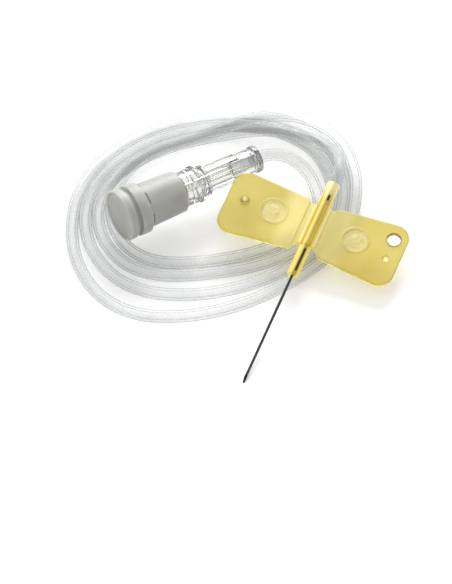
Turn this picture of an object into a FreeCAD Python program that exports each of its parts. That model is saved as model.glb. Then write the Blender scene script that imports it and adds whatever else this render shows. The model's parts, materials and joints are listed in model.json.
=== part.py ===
import FreeCAD, Part

import math
import os

# Winged infusion set, lying on a table as it was put down.
# A thin steel needle sits in a yellow hub with two folding wings. A clear tube
# leaves the back of the hub, lies in four loose turns, and ends in a clear luer
# connector that is closed by a push-on cap.
# Frame: +Z up, table at Z = 0. The needle points along -Y and the wings spread
# along X. X = Y = 0 is the middle of the needle, hub and wings seen from above.
# All sizes are in millimetres and all angles in degrees.

Vector = FreeCAD.Vector
Rotation = FreeCAD.Rotation
Placement = FreeCAD.Placement

os.makedirs("parts", exist_ok=True)

# Needle
cannula_diameter = 0.46
cannula_bore = 0.24
needle_exposed = 20.0
needle_held = 14.0
bevel_angle = 14.0

# Hub that holds the needle, measured along its axis from the nose
nose_diameter = 1.8
nose_length = 5.4
nose_chamfer = 0.25
core_diameter = 1.5
spigot_diameter = 1.24
spigot_length = 4.5
bond_gap = 0.01

# Sleeve around the hub, with a thin web on each side
sleeve_diameter = 2.06
sleeve_length = 7.6
rib_width = 0.26
rib_height = 0.14
rib_angle = 38.0
web_thickness = 0.2
web_inset = 0.35

# Wings. Overhangs are how far the root edge reaches past the sleeve's ends, and
# flares how much further the tip edge reaches. Features are placed from the
# middle of the sleeve's length, and from the hinge or the tip across the wing.
hinge_offset = 1.5
hinge_gap = 0.12
wing_length = 12.6
wing_thickness = 0.7
wing_root_inset = 0.5
wing_front_overhang = 1.2
wing_back_overhang = 0.4
wing_front_flare = 1.35
wing_back_flare = 1.1
wing_corner = 2.2
wing_root_corner = 0.5
roundel_from_hinge = 5.1
roundel_radius = 2.25
roundel_ring = 0.3
roundel_raise = 0.12
hole_from_tip = 2.2
hole_back = 2.4
hole_radius = 1.05
dimple_from_tip = 2.15
dimple_front = 1.15
dimple_radius = 0.45
dimple_depth = 0.3
peg_from_tip = 2.8
peg_back = 0.15
peg_radius = 0.55
peg_height = 0.5

# How the needle, hub and wings lie: needle tip on the table, nose on the coil
hub_height = 3.1
wing_roll = 5.5

# Tube
tube_diameter = 1.9
socket_clearance = 0.02

# Clear connector, measured along its axis from the mouth of its tube socket
socket_depth = 5.0
rim_diameter = 4.2
rim_length = 0.8
body_diameter = 3.8
body_end = 9.2
grip_rib_count = 8
grip_rib_width = 0.45
grip_rib_raise = 0.18
grip_rib_start = 3.6
neck_diameter = 4.2
flange_diameter = 4.9
flange_thickness = 0.55
flange_pitch = 1.4
luer_rim_diameter = 5.8
luer_rim_length = 0.5
luer_diameter = 5.4
luer_end = 20.7
luer_depth = 7.5
luer_mouth = 4.3
luer_taper = 0.06
passage_diameter = 1.1

# Push-on cap, measured along the same axis
cap_open_end = 13.9
cap_length = 10.3
cap_barrel = 6.9
cap_mouth = 6.5
cap_clearance = 0.1
cap_lip_length = 1.0
cap_lip_relief = 0.1
cap_ring_diameter = 8.0
cap_ring_one = 1.3
cap_groove = 0.75
cap_ring_two = 1.75
cap_edge = 0.15
cap_face_rim = 0.35
cap_face_depth = 0.3
cap_end_gap = 0.25
cap_slot_count = 6
cap_slot_arc = 33.0
cap_slot_width = 0.5
cap_slot_depth = 0.3
cap_plug_clearance = 0.12
cap_plug_length = 6.0

# How the connector and cap lie: the cap's rings rest on the innermost turns
fitting_heading = 232.7
fitting_rise = 2.6
fitting_mouth = (-12.78, 19.15, 5.25)

# Coil of tube. The turns lie between an inner and an outer oval lane. Each row
# is one turn, in the order that the tube takes from the connector to the hub,
# with a value for each eighth of a turn. coil_lanes says how far out the turn
# lies, 0 on the inner lane and 1 on the outer one, and coil_lifts how high it
# rides over other turns, in tube diameters.
coil_yaw = 21.8
inner_lane_centre = (-17.1, 11.96)
inner_lane_radii = (15.35, 11.55)
outer_lane_centre = (-16.18, 9.64)
outer_lane_radii = (21.0, 20.2)
coil_lanes = (
    (0.15, -0.04, 0.00, 0.25, 0.00, -0.14, 0.03, 1.62),
    (1.05, 0.70, 0.91, 1.34, 1.06, 0.86, 0.93, 1.38),
    (0.75, 0.46, 0.57, 0.86, 0.72, 0.48, 0.60, 0.93),
    (0.45, 0.22, 0.22, 0.52, 0.37, 0.09, 0.25, 0.85),
)
coil_lifts = (
    (0.00, 0.00, 0.00, 0.00, 0.20, 1.05, 1.30, 1.10),
    (0.03, 0.00, 0.00, 0.00, 0.00, 0.00, 0.00, 0.00),
    (0.00, 0.00, 0.00, 0.00, 0.00, 0.00, 0.00, 0.00),
    (0.00, 0.00, 0.00, 0.00, 0.00, 0.00, 0.00, 1.05),
)
coil_points_per_turn = 20
coil_end = 31

# Stretches of the coil that ride over other turns, and how far they sink into
# the flat solid of the turns beneath, as a share of their lift
crossings = ((4.2, 7.9), (30.2, coil_end))
crossing_share = 0.85
lift_of_a_crossing = 0.5

# Tube from the connector's socket to the coil, and from the coil to the hub
lead_in_route = (
    Vector(-15.75, 15.26, 5.47),
    Vector(-13.68, 17.96, 5.32),
    Vector(-11.64, 20.66, 5.16),
    Vector(-9.16, 21.98, 4.45),
    Vector(-6.18, 21.83, 3.25),
    Vector(-3.66, 20.09, 1.95),
)
lead_out_route = (
    Vector(-5.24, 26.99, 3.3),
    Vector(-2.74, 25.54, 4.4),
    Vector(-0.94, 23.38, 5.5),
    Vector(0.0, 20.73, 5.93),
    Vector(0.02, 17.47, 5.45),
    Vector(0.0, 14.15, 4.97),
)
run_share = 0.45


def cylinder(radius, start, end):
    """A round bar along the local Y axis, from start to end."""
    return Part.makeCylinder(radius, end - start, Vector(0, start, 0), Vector(0, 1, 0))


def cone(start_radius, end_radius, start, end):
    """A round taper along the local Y axis."""
    return Part.makeCone(start_radius, end_radius, end - start, Vector(0, start, 0), Vector(0, 1, 0))


def block(x_low, x_high, y_low, y_high, z_low, z_high):
    """A rectangular bar between two corners."""
    size = (x_high - x_low, y_high - y_low, z_high - z_low)
    return Part.makeBox(*size, Vector(x_low, y_low, z_low))


def tube_between(outer_radius, inner_radius, start, end):
    """A straight pipe along the local Y axis."""
    return cylinder(outer_radius, start, end).cut(cylinder(inner_radius, start, end))


def export(shape, name, placement):
    """Put a shape in its place, report it and write it."""
    placed = shape.copy()
    placed.Placement = placement.multiply(placed.Placement)
    placed = placed.removeSplitter()
    placed.exportStep("parts/" + name + ".step")
    print(name, "solids", len(placed.Solids), "volume", round(placed.Volume, 3), "valid", placed.isValid())


# Where the needle, hub and wings lie. Local Y runs back along the hub from the
# nose, local X spans the wings and local Z is the wings' upper side.
cannula_radius = cannula_diameter / 2
sleeve_front = nose_length
sleeve_back = sleeve_front + sleeve_length
sleeve_middle = (sleeve_front + sleeve_back) / 2
hub_back = sleeve_back + spigot_length
wing_tip = hinge_offset + wing_length
needle_slope = math.degrees(math.asin((hub_height - cannula_radius) / needle_exposed))
hub_y = (needle_exposed - hub_back) / 2 * math.cos(math.radians(needle_slope))
hub_turn = Rotation(Vector(1, 0, 0), needle_slope).multiply(Rotation(Vector(0, 1, 0), wing_roll))
hub_place = Placement(Vector(0, hub_y, hub_height), hub_turn)

# Where the connector and cap lie. Local Y runs from the socket to the cap.
fitting_turn = Rotation(Vector(0, 0, 1), fitting_heading - 90)
fitting_turn = fitting_turn.multiply(Rotation(Vector(1, 0, 0), fitting_rise))
fitting_place = Placement(Vector(*fitting_mouth), fitting_turn)


def make_cannula():
    """Steel needle with a ground bevel that faces up."""
    tip = -needle_exposed
    bar = tube_between(cannula_radius, cannula_bore / 2, tip, needle_held)
    bevel_length = cannula_diameter / math.tan(math.radians(bevel_angle))
    cutter = Part.makePolygon([
        Vector(-cannula_diameter, tip - cannula_diameter, -cannula_radius),
        Vector(-cannula_diameter, tip, -cannula_radius),
        Vector(-cannula_diameter, tip + bevel_length, cannula_radius),
        Vector(-cannula_diameter, tip + bevel_length, cannula_diameter),
        Vector(-cannula_diameter, tip - cannula_diameter, cannula_diameter),
        Vector(-cannula_diameter, tip - cannula_diameter, -cannula_radius),
    ])
    wedge = Part.Face(cutter).extrude(Vector(2 * cannula_diameter, 0, 0))
    level = Rotation(Vector(0, 1, 0), -wing_roll)
    wedge.Placement = Placement(Vector(0, 0, 0), level)
    return bar.cut(wedge)


def make_hub():
    """Yellow hub: nose, a core inside the sleeve, and a spigot for the tube."""
    nose_radius = nose_diameter / 2
    nose = cone(nose_radius - nose_chamfer, nose_radius, 0, nose_chamfer)
    nose = nose.fuse(cylinder(nose_radius, nose_chamfer, nose_length))
    core = cylinder(core_diameter / 2, sleeve_front, sleeve_back)
    spigot = cylinder(spigot_diameter / 2, sleeve_back, hub_back)
    seat = cylinder(cannula_radius + bond_gap, 0, needle_held)
    lumen = cylinder(cannula_bore / 2, needle_held, hub_back)
    return nose.fuse(core).fuse(spigot).cut(seat).cut(lumen)


def make_sleeve():
    """Sleeve of the wings, with two ribs on top and a thin web on each side."""
    radius = sleeve_diameter / 2
    body = cylinder(radius, sleeve_front, sleeve_back)
    for side in (-1, 1):
        rib = block(-rib_width / 2, rib_width / 2, sleeve_front, sleeve_back, 0, radius + rib_height)
        rib.rotate(Vector(0, 0, 0), Vector(0, 1, 0), side * rib_angle)
        body = body.fuse(rib).fuse(make_web(0, side * (hinge_offset - hinge_gap)))
    return body.cut(cylinder(core_diameter / 2 + bond_gap, sleeve_front, sleeve_back))


def make_web(start, end):
    """Thin film beside the sleeve, from one place across the wings to another."""
    front = sleeve_front + web_inset
    back = sleeve_back - web_inset
    half = web_thickness / 2
    return block(min(start, end), max(start, end), front, back, -half, half)


def rounded_outline(corners, height):
    """A flat closed outline. Each corner is a point and its rounding radius."""
    count = len(corners)
    edges = []
    ends = []
    for index, (corner, radius) in enumerate(corners):
        before = (corners[index - 1][0] - corner).normalize()
        after = (corners[(index + 1) % count][0] - corner).normalize()
        half = before.getAngle(after) / 2
        setback = radius / math.tan(half)
        middle = (before + after).normalize() * (radius / math.sin(half) - radius)
        ends.append((corner + before * setback, corner + middle, corner + after * setback))
    for index, (start, middle, end) in enumerate(ends):
        edges.append(Part.Arc(start, middle, end).toShape())
        edges.append(Part.LineSegment(end, ends[(index + 1) % count][0]).toShape())
    wire = Part.Wire(edges)
    wire.translate(Vector(0, 0, height))
    return wire


def make_wing(side):
    """One wing: a rounded plate with its hinge web and an embossed roundel."""
    root = hinge_offset + wing_root_inset
    root_front = sleeve_front - wing_front_overhang
    root_back = sleeve_back + wing_back_overhang
    corners = [
        (Vector(side * root, root_front, 0), wing_root_corner),
        (Vector(side * wing_tip, root_front - wing_front_flare, 0), wing_corner),
        (Vector(side * wing_tip, root_back + wing_back_flare, 0), wing_corner),
        (Vector(side * root, root_back, 0), wing_root_corner),
    ]
    half = wing_thickness / 2
    plate = Part.Face(rounded_outline(corners, -half)).extrude(Vector(0, 0, wing_thickness))
    web = make_web(side * (hinge_offset + hinge_gap), side * (root + wing_root_corner))
    centre = Vector(side * (hinge_offset + roundel_from_hinge), sleeve_middle, half)
    ring = upright_disc(roundel_radius, roundel_raise, centre)
    ring = ring.cut(upright_disc(roundel_radius - roundel_ring, roundel_raise, centre))
    return plate.fuse(web).fuse(ring)


def upright_disc(radius, height, foot):
    """A short round bar standing across the wing's face."""
    return Part.makeCylinder(radius, height, foot, Vector(0, 0, 1))


def make_left_wing():
    """Left wing, with the snap peg that meets the other wing when both fold."""
    foot = Vector(peg_from_tip - wing_tip, sleeve_middle + peg_back, wing_thickness / 2)
    return make_wing(-1).fuse(upright_disc(peg_radius, peg_height, foot))


def make_right_wing():
    """Right wing, with its through hole and a small dimple."""
    half = wing_thickness / 2
    hole_foot = Vector(wing_tip - hole_from_tip, sleeve_middle + hole_back, -half)
    dimple_foot = Vector(wing_tip - dimple_from_tip, sleeve_middle - dimple_front, half - dimple_depth)
    wing = make_wing(1).cut(upright_disc(hole_radius, wing_thickness, hole_foot))
    return wing.cut(upright_disc(dimple_radius, dimple_depth, dimple_foot))


def make_connector():
    """Clear connector: tube socket, ribbed body, flange, neck and luer socket."""
    luer_start = luer_end - luer_depth
    rim_start = body_end + flange_pitch
    shape = cylinder(rim_diameter / 2, 0, rim_length)
    shape = shape.fuse(cylinder(body_diameter / 2, 0, body_end))
    for index in range(grip_rib_count):
        reach = body_diameter / 2 + grip_rib_raise
        rib = block(-grip_rib_width / 2, grip_rib_width / 2, grip_rib_start, body_end, 0, reach)
        rib.rotate(Vector(0, 0, 0), Vector(0, 1, 0), 360 * index / grip_rib_count)
        shape = shape.fuse(rib)
    shape = shape.fuse(cylinder(flange_diameter / 2, body_end, body_end + flange_thickness))
    shape = shape.fuse(cylinder(neck_diameter / 2, body_end, rim_start))
    shape = shape.fuse(cylinder(luer_rim_diameter / 2, rim_start, rim_start + luer_rim_length))
    shape = shape.fuse(cylinder(luer_diameter / 2, rim_start, luer_end))
    shape = shape.cut(cylinder(tube_diameter / 2 + socket_clearance, 0, socket_depth))
    shape = shape.cut(cylinder(passage_diameter / 2, socket_depth, luer_start))
    luer_floor = luer_mouth - luer_taper * luer_depth
    return shape.cut(cone(luer_floor / 2, luer_mouth / 2, luer_start, luer_end))


def make_cap():
    """Push-on cap: barrel over the connector, two grip rings and a taper plug."""
    face = cap_open_end + cap_length
    ring_one_start = face - cap_ring_one
    ring_two_end = ring_one_start - cap_groove
    ring_two_start = ring_two_end - cap_ring_two
    ring_radius = cap_ring_diameter / 2
    shape = cylinder(cap_barrel / 2, ring_two_start, face)
    shape = shape.fuse(cone(cap_mouth / 2, cap_barrel / 2, cap_open_end, ring_two_start))
    for start, end in ((ring_one_start, face), (ring_two_start, ring_two_end)):
        shape = shape.fuse(cone(ring_radius - cap_edge, ring_radius, start, start + cap_edge))
        shape = shape.fuse(cylinder(ring_radius, start + cap_edge, end - cap_edge))
        shape = shape.fuse(cone(ring_radius, ring_radius - cap_edge, end - cap_edge, end))
    for index in range(cap_slot_count):
        slot = make_cap_slot(ring_two_start)
        slot.rotate(Vector(0, 0, 0), Vector(0, 1, 0), 360 * index / cap_slot_count)
        shape = shape.cut(slot)
    shape = shape.cut(cylinder(ring_radius - cap_face_rim, face - cap_face_depth, face))
    bore_end = luer_end + cap_end_gap
    shape = shape.cut(cylinder(luer_diameter / 2 + cap_clearance, cap_open_end, bore_end))
    lip_end = cap_open_end + cap_lip_length
    shape = shape.cut(cylinder(luer_diameter / 2 + cap_clearance + cap_lip_relief, cap_open_end, lip_end))
    return shape.fuse(make_cap_plug(bore_end))


def make_cap_slot(ring_start):
    """One short slot around the barrel, beside the second grip ring."""
    outer = cap_barrel / 2
    start = ring_start - cap_slot_width
    foot = Vector(0, start, 0)
    reach = outer + cap_slot_depth
    arc = Part.makeCylinder(reach, cap_slot_width, foot, Vector(0, 1, 0), cap_slot_arc)
    return arc.cut(cylinder(outer - cap_slot_depth, start, ring_start))


def make_cap_plug(bore_end):
    """Tapered plug inside the cap that closes the luer socket."""
    mouth_radius = luer_mouth / 2 - cap_plug_clearance
    plug_start = luer_end - cap_plug_length
    tip_radius = mouth_radius - luer_taper / 2 * cap_plug_length
    plug = cone(tip_radius, mouth_radius, plug_start, luer_end)
    return plug.fuse(cylinder(mouth_radius, luer_end, bore_end))


def smooth_value(values, place):
    """The value at a place on a smooth curve through evenly spaced values."""
    index = math.floor(place)
    share = place - index
    last = len(values) - 1
    before, here, after, beyond = (values[max(0, min(last, index + step))] for step in (-1, 0, 1, 2))
    slope = after - before
    bend = 2 * before - 5 * here + 4 * after - beyond
    twist = 3 * here - before - 3 * after + beyond
    return here + 0.5 * (slope * share + bend * share ** 2 + twist * share ** 3)


def lane_point(place, lane, height):
    """A point of the coil. place counts eighths of a turn, clockwise from above."""
    angle = math.radians(-45 * place)
    centre = Vector(*inner_lane_centre) * (1 - lane) + Vector(*outer_lane_centre) * lane
    radii = [inner * (1 - lane) + outer * lane for inner, outer in zip(inner_lane_radii, outer_lane_radii)]
    offset = Vector(radii[0] * math.cos(angle), radii[1] * math.sin(angle), height)
    return centre + Rotation(Vector(0, 0, 1), coil_yaw).multVec(offset)


def coil_points(start, end, lift_share):
    """Points along the turns, from one place to another."""
    lanes = [lane for turn in coil_lanes for lane in turn]
    lifts = [lift for turn in coil_lifts for lift in turn]
    steps = max(1, round((end - start) / 8 * coil_points_per_turn))
    points = []
    for step in range(steps + 1):
        place = start + (end - start) * step / steps
        lift = lift_share * max(0, smooth_value(lifts, place))
        points.append(lane_point(place, smooth_value(lanes, place), tube_diameter * (0.5 + lift)))
    return points


def bottom_layer_lanes(choose):
    """The outermost or innermost turn of the bottom layer at each eighth."""
    chosen = []
    for lanes, lifts in zip(zip(*coil_lanes), zip(*coil_lifts)):
        chosen.append(choose(lane for lane, lift in zip(lanes, lifts) if lift < lift_of_a_crossing))
    return chosen


def layer_face(choose, side):
    """A flat face bounded by the outermost or innermost turn's edge."""
    lanes = bottom_layer_lanes(choose)
    closed_lanes = [lanes[-1], *lanes, lanes[0], lanes[1]]
    points = []
    for step in range(coil_points_per_turn):
        place = 8 * step / coil_points_per_turn
        lane = smooth_value(closed_lanes, place + 1)
        point = lane_point(place, lane, 0)
        outward = (lane_point(place, lane + 1, 0) - point).normalize()
        points.append(point + outward * side * tube_diameter / 2)
    curve = Part.BSplineCurve()
    curve.interpolate(Points=points, PeriodicFlag=True)
    return Part.Face(Part.Wire(curve.toShape()))


def tube_path(points):
    """Straight runs joined by tangent arcs, each as large as its runs allow."""
    runs = [(end - start).Length for start, end in zip(points, points[1:])]
    edges = []
    radii = []
    here = points[0]
    for index in range(1, len(points) - 1):
        corner = points[index]
        before = (points[index - 1] - corner).normalize()
        after = (points[index + 1] - corner).normalize()
        turn = math.pi - before.getAngle(after)
        setback = run_share * min(runs[index - 1], runs[index])
        radius = setback / math.tan(turn / 2)
        middle = (before + after).normalize() * (radius / math.cos(turn / 2) - radius)
        start = corner + before * setback
        end = corner + after * setback
        edges.append(Part.LineSegment(here, start).toShape())
        edges.append(Part.Arc(start, corner + middle, end).toShape())
        radii.append(radius)
        here = end
    edges.append(Part.LineSegment(here, points[-1]).toShape())
    return Part.Wire(edges), radii


def make_tube(points, name):
    """A plain round tube along a route, with its radii and volume reported."""
    path, radii = tube_path(points)
    direction = points[1] - points[0]
    section = Part.Wire(Part.makeCircle(tube_diameter / 2, points[0], direction))
    tube = path.makePipeShell([section], True, True)
    expected = math.pi * (tube_diameter / 2) ** 2 * path.Length
    print(name, "length", round(path.Length, 1), "radii", [round(radius, 1) for radius in radii])
    print(name, "volume", round(tube.Volume, 2), "section times length", round(expected, 2))
    return tube


def make_coil():
    """Closed solid of the coil's outer shape: a flat layer, and what crosses it."""
    layer = layer_face(max, 1).cut(layer_face(min, -1))
    coil = layer.extrude(Vector(0, 0, tube_diameter))
    for number, (start, end) in enumerate(crossings):
        coil = coil.fuse(make_tube(coil_points(start, end, crossing_share), "crossing " + str(number + 1)))
    return coil


def make_lead_in():
    """Tube from the connector's socket down to the coil."""
    points = [*lead_in_route, coil_points(0, coil_end, 1)[0]]
    return make_tube(points, "tubing_lead_in")


def make_lead_out():
    """Tube that climbs off the coil and goes over the hub's spigot."""
    points = [coil_points(0, coil_end, 1)[-1], *lead_out_route]
    tube = make_tube(points, "tubing_lead_out")
    spigot = cylinder(spigot_diameter / 2 + bond_gap, sleeve_back, hub_back + bond_gap)
    spigot.Placement = hub_place
    return tube.cut(spigot)


export(make_cannula(), "needle_cannula", hub_place)
export(make_hub(), "needle_hub", hub_place)
export(make_sleeve(), "wing_sleeve", hub_place)
export(make_left_wing(), "left_wing", hub_place)
export(make_right_wing(), "right_wing", hub_place)
export(make_connector(), "luer_connector", fitting_place)
export(make_cap(), "luer_cap", fitting_place)
export(make_coil(), "tubing_coil", Placement())
export(make_lead_in(), "tubing_lead_in", Placement())
export(make_lead_out(), "tubing_lead_out", Placement())
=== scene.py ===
"""Dressed model of a winged infusion set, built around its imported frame.

The set lies on a pale table as it was put down: a steel needle in a yellow hub
with two folding wings, and a clear tube in four loose turns that ends in a
clear luer connector under a grey push-on cap.

Sizes are written in millimetres and turned into metres by MM. Y runs from the
needle's tip towards the tube, X towards the right wing and Z up.
"""

from __future__ import annotations

import json
import logging
import math
from collections.abc import Callable, Iterable, Sequence
from dataclasses import dataclass
from enum import Enum

import bmesh
import bpy
from mathutils import Matrix, Vector

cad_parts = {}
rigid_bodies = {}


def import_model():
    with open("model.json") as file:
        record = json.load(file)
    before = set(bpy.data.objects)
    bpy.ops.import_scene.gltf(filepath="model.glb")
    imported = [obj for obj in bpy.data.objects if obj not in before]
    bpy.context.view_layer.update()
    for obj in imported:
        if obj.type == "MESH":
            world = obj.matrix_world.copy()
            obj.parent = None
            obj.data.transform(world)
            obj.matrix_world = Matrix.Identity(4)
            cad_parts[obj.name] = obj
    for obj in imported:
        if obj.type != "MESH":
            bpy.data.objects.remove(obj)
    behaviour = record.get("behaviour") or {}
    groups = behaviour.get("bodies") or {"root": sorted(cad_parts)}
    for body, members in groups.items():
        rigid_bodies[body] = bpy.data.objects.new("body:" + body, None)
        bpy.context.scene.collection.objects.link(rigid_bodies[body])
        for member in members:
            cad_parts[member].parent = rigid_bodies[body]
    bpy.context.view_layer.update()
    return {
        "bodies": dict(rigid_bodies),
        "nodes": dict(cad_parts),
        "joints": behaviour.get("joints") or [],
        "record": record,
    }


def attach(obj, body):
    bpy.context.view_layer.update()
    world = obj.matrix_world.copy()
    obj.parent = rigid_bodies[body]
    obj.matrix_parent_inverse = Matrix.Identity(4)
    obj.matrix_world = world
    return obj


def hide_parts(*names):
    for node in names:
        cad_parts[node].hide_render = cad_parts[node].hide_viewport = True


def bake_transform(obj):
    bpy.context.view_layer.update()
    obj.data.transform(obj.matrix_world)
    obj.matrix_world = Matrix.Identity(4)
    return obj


MM = 0.001
SHARP_EDGE = math.radians(42)
log = logging.getLogger("infusion_set")

Colour = tuple[float, float, float, float]
Spot = tuple[float, float]
Point = tuple[float, float, float]
Relief = Callable[[float, float], float]

BLACK: Colour = (0, 0, 0, 1)
WHITE: Colour = (1, 1, 1, 1)


class Body(Enum):
    """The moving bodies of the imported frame."""

    BASE = "base"
    LEFT_WING = "left_wing"
    RIGHT_WING = "right_wing"
    CAP = "cap"


class Slot(Enum):
    """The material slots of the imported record."""

    STEEL = "steel"
    HUB = "yellow_hub"
    WINGS = "yellow_wings"
    CONNECTOR = "clear_connector"
    CAP = "grey_cap"
    TUBING = "clear_tubing"


class Side(Enum):
    """The two wings, as the sign of their place across the hub."""

    LEFT = -1
    RIGHT = 1


# Shader graphs


class Wire:
    """One output socket of a shader graph, with arithmetic written as Python."""

    def __init__(self, graph: "ShaderGraph", socket: bpy.types.NodeSocket) -> None:
        """Wrap an output socket of a graph."""
        self.graph = graph
        self.socket = socket

    def __add__(self, other: "Wire | float") -> "Wire":
        """Sum of two values."""
        return self.graph.math("ADD", self, other)

    def __radd__(self, other: float) -> "Wire":
        """Sum of a number and this value."""
        return self.graph.math("ADD", other, self)

    def __sub__(self, other: "Wire | float") -> "Wire":
        """Difference of two values."""
        return self.graph.math("SUBTRACT", self, other)

    def __rsub__(self, other: float) -> "Wire":
        """A number less this value."""
        return self.graph.math("SUBTRACT", other, self)

    def __mul__(self, other: "Wire | float") -> "Wire":
        """Product of two values."""
        return self.graph.math("MULTIPLY", self, other)

    def __rmul__(self, other: float) -> "Wire":
        """Product of a number and this value."""
        return self.graph.math("MULTIPLY", other, self)

    def __or__(self, other: "Wire") -> "Wire":
        """The larger of two masks."""
        return self.graph.math("MAXIMUM", self, other)

    def size(self) -> "Wire":
        """The value without its sign."""
        return self.graph.math("ABSOLUTE", self, 0.0)

    def below(self, limit: float, soft: float) -> "Wire":
        """1 up to a limit, falling to 0 over a soft edge past it."""
        return 1 - self.graph.ramp(self, limit, limit + soft)

    def within(self, low: float, high: float, soft: float) -> "Wire":
        """1 between two values, falling to 0 over a soft edge outside them."""
        return self.graph.ramp(self, low - soft, low) * self.below(high, soft)


class ShaderGraph:
    """The node tree of a material or world, with short ways to add nodes."""

    def __init__(self, owner: bpy.types.Material | bpy.types.World) -> None:
        """Start an empty graph.

        Args:
            owner: The material or world that gets the graph.
        """
        owner.use_nodes = True
        self.tree = owner.node_tree
        self.tree.nodes.clear()
        is_world = isinstance(owner, bpy.types.World)
        self.output_kind = "ShaderNodeOutputWorld" if is_world else "ShaderNodeOutputMaterial"

    def node(self, kind: str, settings: dict | None = None, **values: object) -> bpy.types.Node:
        """Add a node.

        Args:
            kind: The node's type.
            settings: Properties set before the sockets, such as an operation.
            **values: Values or links, by socket name with underscores for
                spaces, or by socket place as in _0.

        Returns:
            The new node.
        """
        made = self.tree.nodes.new(kind)
        for name, value in (settings or {}).items():
            setattr(made, name, value)
        for name, value in values.items():
            key = int(name[1:]) if name[1:].isdigit() else name.replace("_", " ")
            self.feed(made.inputs[key], value)
        return made

    def feed(self, socket: bpy.types.NodeSocket, value: object) -> None:
        """Link a wire to an input socket, or set its value.

        Args:
            socket: The input socket.
            value: A wire, or the socket's plain value.
        """
        if isinstance(value, Wire):
            self.tree.links.new(value.socket, socket)
        else:
            socket.default_value = value

    def wire(self, kind: str, output: str | int, settings: dict | None = None, **values: object) -> Wire:
        """Add a node and return one of its outputs.

        Args:
            kind: The node's type.
            output: The output's name or place.
            settings: Properties set before the sockets.
            **values: Values or links of its sockets.

        Returns:
            The output as a wire.
        """
        return Wire(self, self.node(kind, settings, **values).outputs[output])

    def math(self, operation: str, first: Wire | float, second: Wire | float) -> Wire:
        """Add a Math node on two values."""
        return self.wire("ShaderNodeMath", 0, {"operation": operation}, _0=first, _1=second)

    def mix(self, factor: Wire | float, first: object, second: object) -> Wire:
        """Mix two colours by a factor."""
        settings = {"data_type": "RGBA"}
        return self.wire("ShaderNodeMix", 2, settings, _0=factor, _6=first, _7=second)

    def ramp(self, factor: Wire, low: float, high: float) -> Wire:
        """A mask that rises smoothly from 0 to 1 as the factor goes from low to high."""
        settings = {"interpolation_type": "SMOOTHSTEP"}
        return self.wire("ShaderNodeMapRange", 0, settings, Value=factor, From_Min=low, From_Max=high)

    def place(self, scale: Sequence[float] = (1, 1, 1)) -> Wire:
        """The point on the surface in the object's own metres, stretched by scale."""
        point = self.wire("ShaderNodeTexCoord", "Object")
        return self.wire("ShaderNodeMapping", 0, Vector=point, Scale=tuple(scale))

    def dot(self, vector: Wire, direction: Sequence[float]) -> Wire:
        """How far a vector reaches along a direction."""
        settings = {"operation": "DOT_PRODUCT"}
        return self.wire("ShaderNodeVectorMath", "Value", settings, _0=vector, _1=tuple(direction))

    def local(self, place: Matrix) -> tuple[Wire, Wire, Wire]:
        """The surface point in a frame of its own.

        Args:
            place: Where that frame lies, in metres.

        Returns:
            The point's X, Y and Z in millimetres.
        """
        point = self.wire("ShaderNodeTexCoord", "Object")
        rows = (place @ Matrix.Scale(MM, 4)).inverted()
        return tuple(self.dot(point, row[:3]) + row[3] for row in rows[:3])

    def grazing(self, low: float, high: float) -> Wire:
        """1 where a surface is seen along itself, 0 where it is seen squarely."""
        slant = self.wire("ShaderNodeLayerWeight", "Facing", Blend=0.5)
        return self.ramp(slant, low, high)

    def apart(self, across: Wire, along: Wire, spot: Spot) -> Wire:
        """Square of the distance from a spot.

        Args:
            across: The point's X in millimetres.
            along: The point's Y in millimetres.
            spot: The spot's X and Y.

        Returns:
            The square of the distance, in square millimetres.
        """
        beside = across - spot[0]
        behind = along - spot[1]
        return beside * beside + behind * behind

    def facing(self, direction: Vector) -> Wire:
        """1 where the surface faces along or against a direction, 0 at its sides."""
        return self.dot(self.wire("ShaderNodeTexCoord", "Normal"), direction).size()

    def noise(self, cell_mm: float, detail: float = 3.0, stretch: Sequence[float] = (1, 1, 1)) -> Wire:
        """Cloudy noise from 0 to 1.

        Args:
            cell_mm: Size of a cloud in millimetres.
            detail: How many finer layers it has.
            stretch: Frequency along each axis, relative to the rest.

        Returns:
            The noise value.
        """
        place = self.place([share / (cell_mm * MM) for share in stretch])
        return self.wire("ShaderNodeTexNoise", 0, Vector=place, Scale=1.0, Detail=detail)

    def bump(self, height: Wire, depth_mm: float) -> Wire:
        """Normal of a surface with a fine relief.

        Args:
            height: Relief from 0 to 1.
            depth_mm: Height of the relief in millimetres.

        Returns:
            The bent normal.
        """
        return self.wire("ShaderNodeBump", 0, Height=height, Distance=depth_mm * MM, Strength=1.0)

    def principled(self, **values: object) -> Wire:
        """Add a Principled shader with the given values and links."""
        return self.wire("ShaderNodeBsdfPrincipled", 0, **values)

    def surface(self, shader: Wire) -> None:
        """Make a shader the graph's surface."""
        self.node(self.output_kind, Surface=shader)


@dataclass(frozen=True)
class Finish:
    """A surface finish that can be turned into a material."""

    name: str

    def material(self) -> bpy.types.Material:
        """Build the material once and reuse it after that.

        Returns:
            The material.
        """
        found = bpy.data.materials.get(self.name)
        if found is None:
            found = bpy.data.materials.new(self.name)
            graph = ShaderGraph(found)
            graph.surface(self.shade(graph))
        return found

    def shade(self, graph: ShaderGraph) -> Wire:
        """Build the shader. Each finish gives its own.

        Args:
            graph: The material's graph.

        Returns:
            The shader.
        """
        raise NotImplementedError


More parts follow.
